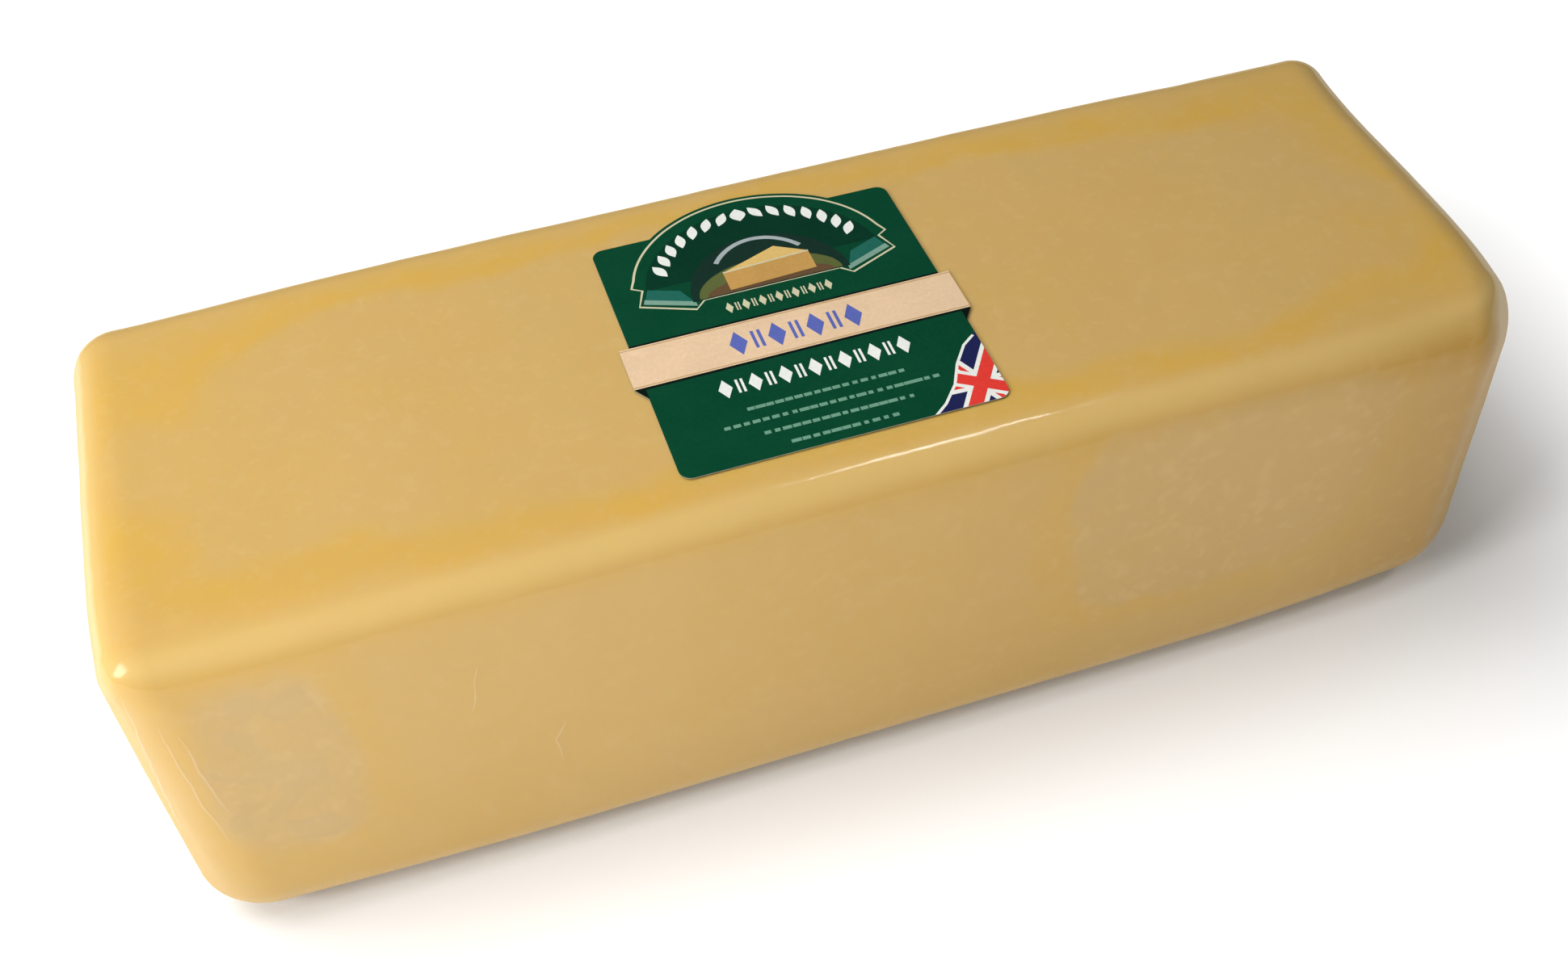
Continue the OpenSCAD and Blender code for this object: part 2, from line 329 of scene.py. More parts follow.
def blockTree():
    tree, given = newTree("blockForm", floats=blockForm)
    cube = tree.nodes.new("GeometryNodeMeshCube")
    cube.inputs["Size"].default_value = (2, 2, 2)
    for axis, cells in zip("XYZ", blockGrid["cells"]):
        cube.inputs["Vertices " + axis].default_value = cells + 1
    place = tree.nodes.new("GeometryNodeInputPosition").outputs[0]
    half = [given[n] / 2 for n in ("length", "width", "height")]
    q = []
    for s, share in zip(parts(tree, place), blockGrid["edgeShare"]):
        step = mathNode("ABSOLUTE", s)
        grid = smaller(step / (1 - share), 1) + larger(step - (1 - share), 0) / share
        q.append(mathNode("SIGN", s) * grid)
    form = tree.nodes.new("GeometryNodeSetPosition")
    link(tree, cube.outputs["Mesh"], form.inputs["Geometry"])
    point = unevenPoint(roundedPoint(tree, q, half, given), half, given)
    link(tree, joined(tree, *point), form.inputs["Position"])
    limits = tree.nodes.new("GeometryNodeBoundBox")  # the form fills exactly the length, width and height
    link(tree, form.outputs[0], limits.inputs[0])
    low = parts(tree, limits.outputs["Min"])
    high = parts(tree, limits.outputs["Max"])
    axes = zip(parts(tree, place), low, high, half)
    fitted = [(p - (a + b) / 2) / (b - a) * h * 2 for p, a, b, h in axes]
    fitted[2] = fitted[2] + half[2]
    fill = tree.nodes.new("GeometryNodeSetPosition")
    link(tree, form.outputs[0], fill.inputs["Geometry"])
    link(tree, joined(tree, *fitted), fill.inputs["Position"])
    # the surface swells and ripples a little, less towards the flat base
    swell = (noise(tree, place, given["swell size"], seed=3) - 0.5) * given["swell"] * 4
    ripple = (noise(tree, place, given["ripple size"], seed=8) - 0.5) * given["ripple"] * 4
    keep = ramp(parts(tree, place)[2], 2 * mm, 22 * mm)
    most = blockMarks["mostRelief"] * mm
    lift = between((swell + ripple) * keep, -most, most) - given["inset"]
    normal = tree.nodes.new("GeometryNodeInputNormal").outputs[0]
    relief = tree.nodes.new("GeometryNodeSetPosition")
    link(tree, fill.outputs[0], relief.inputs["Geometry"])
    link(tree, vectorNode(tree, "SCALE", normal, lift), relief.inputs["Offset"])
    # where the film lies loose, where it clings round that, a painted highlight on the rounded edges that
    # face up, where painted shade darkens and browns the front towards its right end, and the mottling
    # under it all
    drift = noise(tree, place, blockMarks["wanderSize"] * mm, 3, seed=1) - 0.5
    wander = drift * (blockMarks["wander"] * mm)
    inside, ring = patchShare(tree, place, normal, wander)
    marked = stored(tree, relief.outputs[0], "loose", inside)
    marked = stored(tree, marked, "clinging", ring)
    # painted highlight: the rounded edges that face up get a lighter colour, standing in for the light they
    # catch
    turns = [mathNode("ABSOLUTE", n) for n in parts(tree, normal)]
    paintedEdgeHighlight = 1 - ramp(larger(larger(turns[0], turns[1]), turns[2]), 0.76, 0.97)
    marked = stored(tree, marked, "paintedEdgeHighlight", paintedEdgeHighlight * ramp(parts(tree, normal)[2], 0.05, 0.75))
    # painted shade: the front face is darker and browner towards its right end
    x = parts(tree, place)[0]
    middle, end = [ramp(x, a * mm, b * mm) * much for a, b, much in paintedShadeSpans]
    marked = stored(tree, marked, "paintedFrontShade", (middle + end) * ramp(-parts(tree, normal)[1], 0.5, 0.97))
    broad = noise(tree, place, blockMarks["broadSize"] * mm, 2, seed=2)
    patchy = noise(tree, place, blockMarks["patchySize"] * mm, 4, 0.6, seed=5)
    marked = stored(tree, marked, "broad", ramp(broad, 0.38, 0.64))
    marked = stored(tree, marked, "patchy", ramp(patchy, 0.4, 0.66))
    endTree(tree, given, marked)
    return tree


def newFinish(name):
    finish = bpy.data.materials.new(name)
    finish.use_nodes = True
    tree = finish.node_tree
    shader = tree.nodes["Principled BSDF"]
    return finish, tree, shader


def objectPlace(tree):
    return tree.nodes.new("ShaderNodeTexCoord").outputs["Object"]


def colour(*values):
    return tuple((v / 255 / 12.92) if v < 11 else ((v / 255 + 0.055) / 1.055) ** 2.4 for v in values) + (1,)


def blended(tree, a, b, share):
    node = tree.nodes.new("ShaderNodeMix")
    node.data_type = "RGBA"
    put(tree, node.inputs["Factor"], share)
    put(tree, node.inputs[6], a)
    put(tree, node.inputs[7], b)
    return node.outputs[2]


# the edge colour is a painted highlight on the rounded edges that face up
cheeseLook = {
    "main": (195, 160, 95), "deep": (194, 157, 86), "rich": (198, 158, 72), "pale": (202, 170, 114),
    # the darkest colour here is painted shade for the front towards its right end
    "dull": (189, 159, 107), "edge": (204, 173, 108), "paintedShadeColour": (170, 132, 62),
    "fleck": (216, 190, 138), "glow": 0.3, "glowDepth": 6, "curdSize": 5, "fleckSize": 2.6,
}


def marks(tree, name):
    node = tree.nodes.new("ShaderNodeAttribute")
    node.attribute_name = name
    return Num(tree, node.outputs["Fac"])


def cheeseFinish():
    finish, tree, shader = newFinish("cheddar")
    place = objectPlace(tree)
    loose, clinging, broad, patchy = [marks(tree, n) for n in ("loose", "clinging", "broad", "patchy")]
    paintedEdgeHighlight, paintedFrontShade = marks(tree, "paintedEdgeHighlight"), marks(tree, "paintedFrontShade")
    look = blended(tree, colour(*cheeseLook["main"]), colour(*cheeseLook["deep"]), broad * 0.5)
    look = blended(tree, look, colour(*cheeseLook["rich"]), clinging * (patchy * 0.4 + 0.6) * 0.85)
    look = blended(tree, look, colour(*cheeseLook["dull"]), loose * (patchy * 0.45 + 0.5))
    # painted highlight: the rounded edges that face up are lighter
    look = blended(tree, look, colour(*cheeseLook["edge"]), paintedEdgeHighlight * 0.9)
    # painted shade: the front darker towards its right end
    look = blended(tree, look, colour(*cheeseLook["paintedShadeColour"]), paintedFrontShade)
    curd = ramp(noise(tree, place, cheeseLook["curdSize"] * mm, 2, 0.6, seed=9), 0.52, 0.7)
    look = blended(tree, look, colour(*cheeseLook["pale"]), curd * (loose * 0.2 + 0.16))
    flecks = ramp(noise(tree, place, cheeseLook["fleckSize"] * mm, 1, 0.5, seed=12), 0.63, 0.74)
    look = blended(tree, look, colour(*cheeseLook["fleck"]), flecks * (loose * 0.06 + 0.05))
    link(tree, look, shader.inputs["Base Color"])
    shader.inputs["Roughness"].default_value = 0.6
    shader.inputs["Specular IOR Level"].default_value = 0.0
    shader.inputs["Subsurface Weight"].default_value = cheeseLook["glow"]
    shader.inputs["Subsurface Radius"].default_value = (1.0, 0.55, 0.16)
    shader.inputs["Subsurface Scale"].default_value = cheeseLook["glowDepth"] * mm
    return finish


filmLook = {
    "sheen": 1.32, "most": 0.14, "rough": 0.1, "duller": 0.24, "smear": 0.06,
    "waveSize": 5, "waveHigh": 0.05, "overCheese": 0.3,
}


def clearFinish(name, look, rough, height):
    # clear plastic: light passes straight through, except for a thin gloss on its outer side
    finish, tree, shader = newFinish(name)
    tree.nodes.remove(shader)
    bump = tree.nodes.new("ShaderNodeBump")
    bump.inputs["Distance"].default_value = look["waveHigh"] * mm
    put(tree, bump.inputs["Height"], height(tree))
    clear = tree.nodes.new("ShaderNodeBsdfTransparent")
    gloss = tree.nodes.new("ShaderNodeBsdfAnisotropic")
    gloss.inputs["Color"].default_value = (1, 1, 1, 1)
    put(tree, gloss.inputs["Roughness"], rough(tree))
    link(tree, bump.outputs[0], gloss.inputs["Normal"])
    fresnel = tree.nodes.new("ShaderNodeFresnel")
    fresnel.inputs["IOR"].default_value = look["sheen"]
    behind = Num(tree, tree.nodes.new("ShaderNodeNewGeometry").outputs["Backfacing"])
    both = tree.nodes.new("ShaderNodeMixShader")
    put(tree, both.inputs[0], smaller(Num(tree, fresnel.outputs[0]), look["most"]) * (1 - behind))
    link(tree, clear.outputs[0], both.inputs[1])
    link(tree, gloss.outputs[0], both.inputs[2])
    link(tree, both.outputs[0], tree.nodes["Material Output"].inputs["Surface"])
    return finish


def filmFinish():
    def rough(tree):
        loose, smear = marks(tree, "loose"), marks(tree, "patchy")
        duller = loose * (filmLook["duller"] - filmLook["rough"])
        return duller + smear * filmLook["smear"] + filmLook["rough"]

    def height(tree):
        return noise(tree, objectPlace(tree), filmLook["waveSize"] * mm, 1, seed=23)

    return clearFinish("clearFilm", filmLook, rough, height)


# The block: the cheese, and the clear film that clings to it

form = blockTree()
lengths = {name: value * mm for name, value in blockForm.items()}
cheese = grown("cheddar", form, {**lengths, "inset": filmLook["overCheese"] * mm, "Finish": cheeseFinish()})
film = grown("shrinkFilm", form, {**lengths, "Finish": filmFinish()})
for piece in (cheese, film):
    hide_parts("sealed_block")
    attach(piece, "root")
film.visible_shadow = False  # clear, so it casts no shadow on the cheese inside
film.visible_diffuse = False
print("block done")

# The label, in mm from its own middle, printed as fields of colour and simple shapes

labelSheet = {
    "width": 79.5, "height": 85.5, "corner": 3, "left": 5.2, "front": 4.5,
    "thick": 0.25, "lift": 0.14, "grid": 3.2,
    "archWide": 34.7, "archHigh": 32, "archOver": 9,
    "bandTop": 3.5, "bandBase": -11, "bandEnd": 42.35, "fold": 4,
}
halfWide = labelSheet["width"] / 2
halfHigh = labelSheet["height"] / 2
archMiddle = halfHigh + labelSheet["archOver"] - labelSheet["archHigh"]


def arc(middle, wide, high, start, end, steps):
    turns = [math.radians(start + (end - start) * i / steps) for i in range(steps + 1)]
    return [(middle[0] + wide * math.cos(t), middle[1] + high * math.sin(t)) for t in turns]


def turned(points, angle, middle=(0, 0)):
    c, s = math.cos(math.radians(angle)), math.sin(math.radians(angle))
    return [(middle[0] + x * c - y * s, middle[1] + x * s + y * c) for x, y in points]


def bar(middle, wide, high, angle=0):
    w, h = wide / 2, high / 2
    return turned([(-w, -h), (w, -h), (w, h), (-w, h)], angle, middle)


def pointed(middle, wide, high, angle=0, steps=7):
    shares = [i / steps for i in range(steps + 1)]
    side = [(wide * (t - 0.5), high / 2 * math.sin(math.pi * t)) for t in shares]
    return turned(side + [(x, -y) for x, y in side[-2:0:-1]], angle, middle)


def strip(points, wide):
    left, right = [], []
    for i, (x, y) in enumerate(points):
        a = points[max(i - 1, 0)]
        b = points[min(i + 1, len(points) - 1)]
        size = math.hypot(b[0] - a[0], b[1] - a[1])
        nx, ny = (a[1] - b[1]) / size * wide / 2, (b[0] - a[0]) / size * wide / 2
        left.append((x + nx, y + ny))
        right.append((x - nx, y - ny))
    return left + right[::-1]


def inLoop(loop, x, y):
    found = False
    for (ax, ay), (bx, by) in zip(loop, loop[1:] + loop[:1]):
        if (ay > y) != (by > y) and x < ax + (y - ay) / (by - ay) * (bx - ax):
            found = not found
    return found


def labelOutline():
    w, h, r = halfWide, halfHigh, labelSheet["corner"]
    foldBase = labelSheet["bandBase"] - labelSheet["fold"]
    end = labelSheet["bandEnd"]
    meet = labelSheet["archWide"] * math.sqrt(1 - ((h - archMiddle) / labelSheet["archHigh"]) ** 2)
    turn = math.degrees(math.acos(meet / labelSheet["archWide"]))
    half = arc((w - r, r - h), r, r, -90, 0, 8)
    half += [(w, foldBase), (end, labelSheet["bandBase"])]
    half += [(end, labelSheet["bandTop"]), (w, labelSheet["bandTop"])]
    half += arc((w - r, h - r), r, r, 0, 90, 8)
    top = arc((0, archMiddle), labelSheet["archWide"], labelSheet["archHigh"], turn, 180 - turn, 40)
    return half + top + [(-x, y) for x, y in half[::-1]]


inks = {
    "green": (6, 61, 39), "deepGreen": (6, 48, 33), "teal": (30, 92, 80), "mist": (112, 146, 130),
    "cream": (188, 184, 153), "white": (214, 216, 210), "peach": (210, 181, 148), "tan": (172, 144, 103),
    "blue": (84, 95, 164), "red": (206, 56, 48), "navy": (28, 32, 74), "shade": (8, 20, 16),
    "straw": (202, 170, 102), "wax": (178, 138, 76), "mint": (98, 142, 120),
    "dusk": (20, 44, 36), "sky": (150, 160, 160), "olive": (84, 92, 50), "earth": (92, 70, 48),
}


def archPanel():
    # the cream-edged arch with its two ribbon feet, a garland of leaves and a wedge of cheese
    shapes = []
    wide, high = labelSheet["archWide"], labelSheet["archHigh"]
    crown = arc((0, archMiddle), wide - 1.2, high - 1.2, 15, 165, 44)
    foot = [(33.6, 24.8), (31.2, 23.2), (33.4, 17.4), (20.4, 11.6), (17.6, 14.4)]
    edge = foot[::-1] + crown + [(-x, y) for x, y in foot]
    shapes.append(("cream", strip(edge + [edge[0]], 0.62)))
    shapes.append(("deepGreen", arc((0, archMiddle - 1), wide - 4, high - 4.4, 8, 172, 40)))
    for side in (-1, 1):
        ribbon = [(19.6, 13.2), (31.8, 18.4), (30, 23), (22.4, 19.8)]
        shapes.append(("teal", [(side * x, y) for x, y in ribbon]))
        fringe = [(19.8, 12.8), (32.2, 18), (31.6, 19.6), (19.9, 14.6)]
        shapes.append(("mist", [(side * x, y) for x, y in fringe]))
    shapes.append(("dusk", arc((0, archMiddle - 5.4), 20.5, 20, 0, 180, 30)))
    shapes.append(("sky", strip(arc((0, archMiddle - 4.8), 14.5, 18.4, 40, 140, 20), 1.3)))
    shapes.append(("olive", arc((0, archMiddle - 5), 18.6, 10.5, 0, 180, 30)))
    shapes.append(("earth", arc((0, archMiddle - 5), 16.5, 5, 0, 180, 30)))
    for i in range(15):
        turn = math.radians(22 + 136 * i / 14)
        x, y = (wide - 7.6) * math.cos(turn), archMiddle + (high - 7.4) * math.sin(turn)
        along = math.degrees(math.atan2((high - 7.4) * math.cos(turn), -(wide - 7.6) * math.sin(turn)))
        if i == 7:
            shapes.append(("white", pointed((x, y), 5.4, 4.2, along + 90)))
            continue
        lean = 38 if i < 7 else -38
        shapes.append(("white", pointed((x, y), 5.8, 2.7, along + 90 + lean)))
    # the wedge
    shapes.append(("straw", [(-10.5, 22.6), (4.6, 28.6), (12.4, 23.9)]))
    shapes.append(("wax", [(-10.5, 22.6), (12.4, 23.9), (12.4, 16.8), (-10.5, 15.6)]))
    shapes.append(("cream", strip([(-10.5, 22.6), (12.4, 23.9)], 0.5)))
    return shapes


def wordRow(ink, middle, wide, high, beats):
    # a row of diamonds and pairs of narrow bars that takes the place of a word
    shapes = []
    step = wide / beats
    for i in range(beats):
        x = middle[0] - wide / 2 + step * (i + 0.5)
        if i % 2 == 0:
            shapes.append((ink, pointed((x, middle[1]), high, step * 0.94, 90, 2)))
        else:
            shapes.append((ink, bar((x - step * 0.17, middle[1]), step * 0.17, high * 0.72)))
            shapes.append((ink, bar((x + step * 0.17, middle[1]), step * 0.17, high * 0.72)))
    return shapes


def flagCorner():
    # the lower right corner in the colours of a flag, turned a third of a right angle
    middle, turn = (34.7, -36.5), -33
    far = 60
    edge = [(38.9, -20.7), (35.5, -23.3), (31.6, -28.8), (28.5, -35.1), (24.3, -40.2), (19.9, -43.7)]
    corner = [(far, -8), (40, -19.5)] + edge + [(12, -60), (far, -60)]
    shapes = [("navy", corner)]
    for angle in (turn + 31, turn - 31):
        shapes.append(("white", bar(middle, far, 3.6, angle)))
        shapes.append(("red", bar(middle, far, 1.1, angle)))
    for angle in (turn, turn + 90):
        shapes.append(("white", bar(middle, far, 5.4, angle)))
    for angle in (turn, turn + 90):
        shapes.append(("red", bar(middle, far, 3.3, angle)))
    clipped = [(ink, loop, corner) for ink, loop in shapes]
    return clipped + [("white", strip(edge, 0.7), None)]


def labelPrint():
    top, base, end = labelSheet["bandTop"], labelSheet["bandBase"], labelSheet["bandEnd"]
    shapes = archPanel()
    foldMiddle, foldWide = (halfWide + end + 0.9) / 2, end - halfWide + 1.1
    for side in (-1, 1):
        shapes.append(("shade", bar((side * foldMiddle, base - 2.6), foldWide, 4.8)))
    shapes.append(("shade", bar((0, base - 0.35), 2 * end + 2, 0.9)))
    shapes.append(("shade", bar((0, top + 0.3), 2 * halfWide, 0.7)))
    shapes.append(("peach", bar((0, (top + base) / 2), 2 * end + 2, top - base)))
    shapes.append(("tan", bar((0, top - 0.55), 2 * end + 2, 0.35)))
    shapes.append(("tan", bar((0, base + 0.55), 2 * end + 2, 0.35)))
    shapes += wordRow("cream", (0, 9.2), 27.7, 4.2, 13)
    shapes += wordRow("blue", (0, -4), 34, 8.8, 7)
    shapes += wordRow("white", (0, -18.2), 48, 6.4, 13)
    shapes = [(ink, loop, None) for ink, loop in shapes]
    return shapes + flagCorner()


def filmSurface(piece):
    tree = BVHTree.FromObject(piece, bpy.context.evaluated_depsgraph_get())

    def drop(x, y):
        hit = tree.ray_cast(Vector((x, y, 1)), Vector((0, 0, -1)))
        return hit[0].z
    return drop


paperLook = {"grainSize": 0.9, "wornSize": 11, "relief": 0.02}  # in mm


def paperFinish(name, values):
    finish, tree, shader = newFinish(name)
    place = objectPlace(tree)
    grain = ramp(noise(tree, place, paperLook["grainSize"] * mm, 3, seed=31), 0.3, 0.7)
    worn = ramp(noise(tree, place, paperLook["wornSize"] * mm, 3, seed=33), 0.35, 0.7)
    ink = colour(*values)
    pale = tuple(min(c * 1.14 + 0.0015, 1) for c in ink[:3]) + (1,)
    look = blended(tree, ink, pale, grain * 0.5 + worn * 0.35)
    link(tree, look, shader.inputs["Base Color"])
    put(tree, shader.inputs["Roughness"], ramp(worn, 0, 1, 0.42, 0.52))
    shader.inputs["Specular IOR Level"].default_value = 0.04
    bump = tree.nodes.new("ShaderNodeBump")
    bump.inputs["Distance"].default_value = paperLook["relief"] * mm
    bump.inputs["Strength"].default_value = 0.4
    put(tree, bump.inputs["Height"], grain + worn * 3)
    link(tree, bump.outputs[0], shader.inputs["Normal"])
    return finish


def labelPiece(drop):
    outline = labelOutline()
    shapes = labelPrint()
    points, edges = [], []

    def addLoop(loop):
        start = len(points)
        points.extend(Vector(p) for p in loop)
        edges.extend((start + i, start + (i + 1) % len(loop)) for i in range(len(loop)))

    def inkAt(x, y):
        found = "green"
        for ink, loop, clip in shapes:
            if inLoop(loop, x, y) and (clip is None or inLoop(clip, x, y)):
                found = ink
        return found

    addLoop(outline)
    for ink, loop, clip in shapes:
        addLoop(loop)
    grid = labelSheet["grid"]
    for i in range(int(halfWide // grid) * 2 + 1):
        for j in range(int(60 // grid) * 2 + 1):
            x, y = (i - halfWide // grid) * grid, (j - 60 // grid) * grid
            if inLoop(outline, x, y):
                points.append(Vector((x, y)))
    flat, _, faces, _, _, _ = delaunay_2d_cdt(points, edges, [], 0, 1e-4)
    names = list(inks)
    kept, paints = [], []
    for face in faces:
        x = sum(flat[v].x for v in face) / len(face)
        y = sum(flat[v].y for v in face) / len(face)
        if inLoop(outline, x, y):
            sides = zip(face, face[1:] + face[:1])
            area = sum(flat[a].cross(flat[b]) for a, b in sides)
            kept.append(tuple(face) if area > 0 else tuple(face[::-1]))
            paints.append(names.index(inkAt(x, y)))
    used = sorted({v for face in kept for v in face})
    number = {v: i for i, v in enumerate(used)}
    kept = [tuple(number[v] for v in face) for face in kept]
    low, high = [], []
    for v in used:
        x, y = (flat[v].x - labelSheet["left"]) * mm, (flat[v].y - labelSheet["front"]) * mm
        z = drop(x, y) + labelSheet["lift"] * mm
        low.append((x, y, z))
        high.append((x, y, z + labelSheet["thick"] * mm))
    count = len(used)
    # the rim is the edges that only one face has
    sides = {(a, b): None for face in kept for a, b in zip(face, face[1:] + face[:1])}
    rim = [(a, b) for a, b in sides if (b, a) not in sides]
    allFaces = [tuple(v + count for v in face) for face in kept]
    allFaces += [face[::-1] for face in kept]
    allFaces += [(a, b, b + count, a + count) for a, b in rim]
    mesh = bpy.data.meshes.new("label")
    mesh.from_pydata(low + high, [], allFaces)
    for name, values in inks.items():
        mesh.materials.append(paperFinish("ink_" + name, values))
    mesh.materials.append(paperFinish("paperEdge", (150, 156, 138)))
    bare = len(inks)
    mesh.polygons.foreach_set("material_index", paints + [bare] * (len(kept) + len(rim)))
    mesh.validate()
    piece = bpy.data.objects.new("label", mesh)
    bpy.context.scene.collection.objects.link(piece)
    print("label", len(mesh.polygons), "faces")
    return piece


drop = filmSurface(film)
label = labelPiece(drop)
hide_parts("label")
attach(label, "root")


# The small print: dashes of uneven length along each line, given by its middle and its length in mm
dashes = {
    "high": 1.05, "thick": 0.05, "least": 1.0, "most": 2.5, "spacing": 2.3,
    "lift": 0.015, "steps": 12,
}
dashLines = [(0, -26.4, 37), (0, -30.8, 51), (0.3, -35.1, 35), (0.2, -39.6, 24)]


def dashTree():
    tree, given = newTree("smallPrint", floats=("high", "thick", "least", "most", "spacing"))
    curve = tree.nodes.new("GeometryNodeMeshToCurve")
    link(tree, given["Geometry"], curve.inputs[0])
    spread = tree.nodes.new("GeometryNodeCurveToPoints")
    spread.mode = "LENGTH"
    link(tree, curve.outputs[0], spread.inputs[0])
    put(tree, spread.inputs["Length"], given["spacing"])
    chance = tree.nodes.new("FunctionNodeRandomValue")
    chance.data_type = "FLOAT"
    put(tree, chance.inputs[2], given["least"])
    put(tree, chance.inputs[3], given["most"])
    chance.inputs["Seed"].default_value = 5
    box = tree.nodes.new("GeometryNodeMeshCube")
    box.inputs["Size"].default_value = (1, 1, 1)
    copies = tree.nodes.new("GeometryNodeInstanceOnPoints")
    link(tree, spread.outputs["Points"], copies.inputs["Points"])
    link(tree, box.outputs[0], copies.inputs["Instance"])
    size = joined(tree, Num(tree, chance.outputs[1]), given["high"], given["thick"])
    link(tree, size, copies.inputs["Scale"])
    endTree(tree, given, copies.outputs[0], smooth=False)
    return tree


def dashStart():
    points, edges = [], []
    above = labelSheet["lift"] + labelSheet["thick"] + dashes["lift"]
    for x, y, wide in dashLines:
        for i in range(dashes["steps"] + 1):
            px = (x - wide / 2 + wide * i / dashes["steps"] - labelSheet["left"]) * mm
            py = (y - labelSheet["front"]) * mm
            pz = drop(px, py) + above * mm
            if i:
                edges.append((len(points) - 1, len(points)))
            points.append((px, py, pz))
    mesh = bpy.data.meshes.new("smallPrint")
    mesh.from_pydata(points, edges, [])
    return mesh


dashSizes = {name: dashes[name] * mm for name in ("high", "thick", "least", "most", "spacing")}
smallInk = paperFinish("smallInk", inks["mint"])
small = grown("smallPrint", dashTree(), {**dashSizes, "Finish": smallInk}, dashStart())
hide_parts("label")
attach(small, "root")
print("label done")


# Creases in the film, swept along lines that are laid on its surface, in mm
creases = {"wide": 0.65, "spacing": 0.9, "sway": 1.1}


def creaseTree():
    tree, given = newTree("filmCreases", floats=("wide", "spacing", "sway"), objects=("Film",))
    curve = tree.nodes.new("GeometryNodeMeshToCurve")
    link(tree, given["Geometry"], curve.inputs[0])
    fine = tree.nodes.new("GeometryNodeResampleCurve")
    fine.mode = "LENGTH"
    link(tree, curve.outputs[0], fine.inputs["Curve"])
    put(tree, fine.inputs["Length"], given["spacing"])
    place = tree.nodes.new("GeometryNodeInputPosition").outputs[0]
    shifts = [(noise(tree, place, 9 * mm, 2, seed=40 + i) - 0.5) * given["sway"] * 2 for i in range(3)]
    sway = tree.nodes.new("GeometryNodeSetPosition")
    link(tree, fine.outputs[0], sway.inputs["Geometry"])
    link(tree, joined(tree, *shifts), sway.inputs["Offset"])
    source = tree.nodes.new("GeometryNodeObjectInfo")
    link(tree, given["Film"], source.inputs["Object"])
    near = tree.nodes.new("GeometryNodeProximity")
    near.target_element = "FACES"
    link(tree, source.outputs["Geometry"], near.inputs[0])
    onFilm = tree.nodes.new("GeometryNodeSetPosition")
    link(tree, sway.outputs[0], onFilm.inputs["Geometry"])
    link(tree, near.outputs["Position"], onFilm.inputs["Position"])
    along = Num(tree, tree.nodes.new("GeometryNodeSplineParameter").outputs["Factor"])
    taper = mathNode("SINE", along * math.pi) ** 0.7 * 0.85 + 0.12
    profile = tree.nodes.new("GeometryNodeCurvePrimitiveCircle")
    profile.inputs["Resolution"].default_value = 8
    profile.inputs["Radius"].default_value = 1
    sweep = tree.nodes.new("GeometryNodeCurveToMesh")
    link(tree, onFilm.outputs[0], sweep.inputs["Curve"])
    put(tree, sweep.inputs["Scale"], taper * given["wide"] / 2)
    link(tree, profile.outputs[0], sweep.inputs["Profile Curve"])
    sweep.inputs["Fill Caps"].default_value = True
    endTree(tree, given, sweep.outputs[0])
    return tree


# each crease: its points in mm, on or near the film
creaseLines = [
    [(-169, -55, 96), (-170, -56, 80), (-171, -55, 62), (-171, -54, 44)],
    [(-173, -50, 90), (-174, -51, 74), (-174, -50, 60)],
    [(-166, -60, 88), (-166, -61, 72), (-165, -61, 58), (-163, -61, 40)],
    [(-163, -61, 84), (-162, -62, 70), (-160, -62, 52)],
    [(-175, -44, 84), (-176, -40, 66), (-176, -34, 50)],
    [(-98, -63, 81), (-100, -63, 73), (-102, -63, 65)],
    [(-82, -63, 54), (-85, -63, 47), (-84, -63, 38)],
]
# some of them again at the left back and right back corners
leftBack = [[(x, -y, z) for x, y, z in line] for line in creaseLines[1:4]]
rightBack = [[(-x, -y, z - 6) for x, y, z in line] for line in creaseLines[0:3]]
creaseLines += leftBack + rightBack


def creaseStart(lines):
    points, edges = [], []
    for line in lines:
        for i, p in enumerate(line):
            if i:
                edges.append((len(points) - 1, len(points)))
            points.append(tuple(v * mm for v in p))
    mesh = bpy.data.meshes.new("filmCreases")
    mesh.from_pydata(points, edges, [])
    return mesh


creaseLook = {"sheen": 1.6, "most": 0.7, "rough": (0.1, 0.2), "waveSize": 1.5, "waveHigh": 0.05}


def creaseFinish():
    def rough(tree):
        return ramp(noise(tree, objectPlace(tree), 3 * mm, 2, seed=51), 0.3, 0.7, *creaseLook["rough"])

    def height(tree):
        return noise(tree, objectPlace(tree), creaseLook["waveSize"] * mm, 1, seed=52)

    return clearFinish("creasedFilm", creaseLook, rough, height)


creaseSizes = {name: value * mm for name, value in creases.items()}
creaseParts = {"Film": film, "Finish": creaseFinish()}
folds = grown("filmCreases", creaseTree(), {**creaseSizes, **creaseParts}, creaseStart(creaseLines))
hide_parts("sealed_block")
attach(folds, "root")
print("creases done")


# The floor, the light and the camera
floorLook = {"pale": 0.88, "glow": (0.03, 0.6), "glowFrom": 0.15, "half": 6}


def floorFinish():
    finish, tree, shader = newFinish("paleFloor")
    shader.inputs["Base Color"].default_value = (floorLook["pale"],) * 3 + (1,)
    shader.inputs["Roughness"].default_value = 0.9
    shader.inputs["Specular IOR Level"].default_value = 0
    shader.inputs["Emission Color"].default_value = (1, 1, 1, 1)
    # the floor glows a little, and less close to the block, where the shadow is
    x, y, _ = parts(tree, objectPlace(tree))
    low, high = cadSize
    past = [larger(mathNode("ABSOLUTE", v) - h, 0) for v, h in ((x, high[0]), (y, high[1]))]
    far = Num(tree, vectorNode(tree, "LENGTH", joined(tree, *past, 0.0)))
    put(tree, shader.inputs["Emission Strength"], ramp(far, 0.0, floorLook["glowFrom"], *floorLook["glow"]))
    finish.cycles.emission_sampling = "NONE"
    return finish


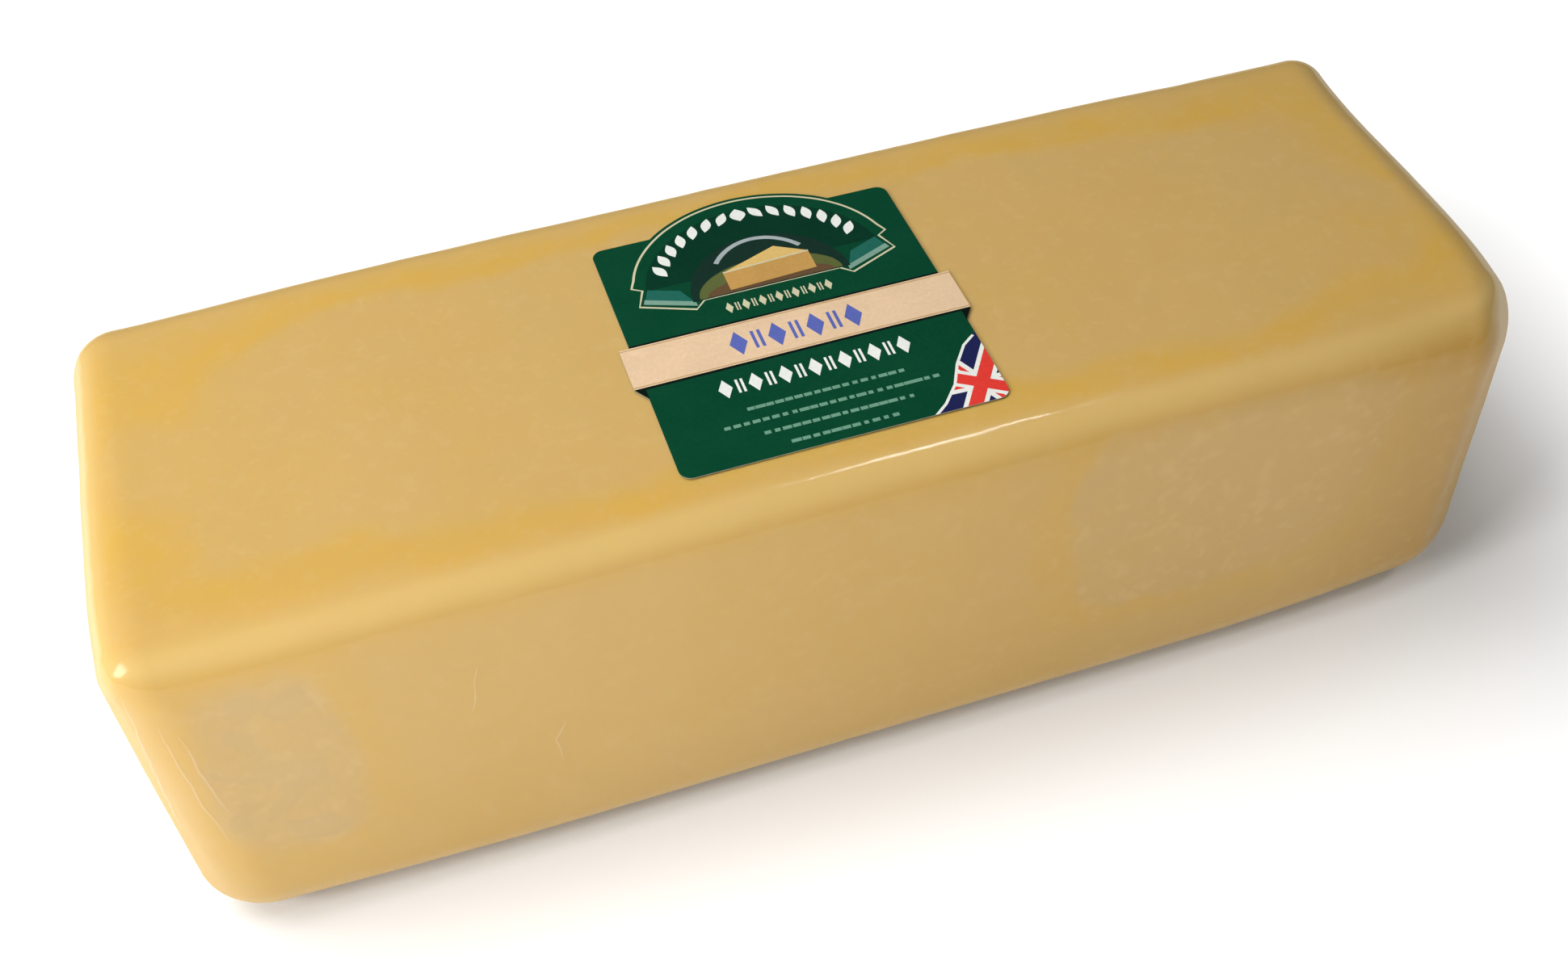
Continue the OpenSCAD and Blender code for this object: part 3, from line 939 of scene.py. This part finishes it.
def floorPiece():
    size = floorLook["half"]
    mesh = bpy.data.meshes.new("floor")
    corners = [(-size, -size), (size, -size), (size, size), (-size, size)]
    mesh.from_pydata([(x, y, 0) for x, y in corners], [], [(0, 1, 2, 3)])
    mesh.materials.append(floorFinish())
    piece = bpy.data.objects.new("floor", mesh)
    bpy.context.scene.collection.objects.link(piece)
    return piece


floorPiece()


# each light: its place and aim in metres, its sides, its power in watts, and whether the film mirrors it
lights = {
    "keyLeft": ((-0.85, -0.35, 0.62), (-0.1, 0, 0.05), (0.34, 0.34), 6.0, True),
    "overLeft": ((-0.5, 0, 0.9), (-0.1, 0, 0.05), (0.5, 0.5), 4.8, False),
    "overhead": ((-0.2, 0.3, 1.2), (0, 0, 0.05), (0.8, 0.8), 3.7, False),
    "frontLeft": ((-0.42, -0.55, 0.3), (-0.1, 0, 0.05), (0.3, 0.3), 0.8, False),
    "glint": ((0.56, -0.72, 1.85), (0.01, -0.05, 0.1), (0.36, 0.08), 3.5, True),
}


def softLight(name, place, aim, sides, power, mirrored):
    lamp = bpy.data.lights.new(name, "AREA")
    lamp.shape = "RECTANGLE"
    lamp.size, lamp.size_y = sides
    lamp.energy = power
    piece = bpy.data.objects.new(name, lamp)
    piece.location = place
    piece.rotation_euler = (Vector(aim) - Vector(place)).to_track_quat("-Z", "Y").to_euler()
    piece.visible_camera = False
    piece.visible_glossy = mirrored
    bpy.context.scene.collection.objects.link(piece)


for name, plan in lights.items():
    softLight(name, *plan)
print("light done")

room = {"light": 0.12, "shown": 0.9}  # the room is dim as a light and pale to look at
world = bpy.data.worlds.new("softRoom")
world.use_nodes = True
world.node_tree.nodes["Background"].inputs["Color"].default_value = (1, 1, 1, 1)
shown = world.node_tree.nodes.new("ShaderNodeLightPath").outputs["Is Camera Ray"]
strength = mix(room["light"], room["shown"], Num(world.node_tree, shown))
put(world.node_tree, world.node_tree.nodes["Background"].inputs["Strength"], strength)
bpy.context.scene.world = world
bpy.context.scene.view_settings.view_transform = "Standard"
bpy.context.scene.cycles.max_bounces = 5
bpy.context.scene.cycles.diffuse_bounces = 3

shot = {
    "place": (-96.12, -307.88, 381.27), "lens": 39.447,
    "right": (0.949212, -0.312428, -0.037217), "down": (-0.250769, -0.679782, -0.689211),
    "ahead": (0.190029, 0.66354, -0.723604),
}
lens = bpy.data.cameras.new("camera")
lens.sensor_width = 36
lens.lens = shot["lens"]
lens.clip_start = 0.01
camera = bpy.data.objects.new("camera", lens)
axes = Matrix((shot["right"], [-v for v in shot["down"]], [-v for v in shot["ahead"]])).transposed()
camera.matrix_world = Matrix.Translation(Vector(shot["place"]) * mm) @ axes.to_4x4()
bpy.context.scene.collection.objects.link(camera)
bpy.context.scene.camera = camera
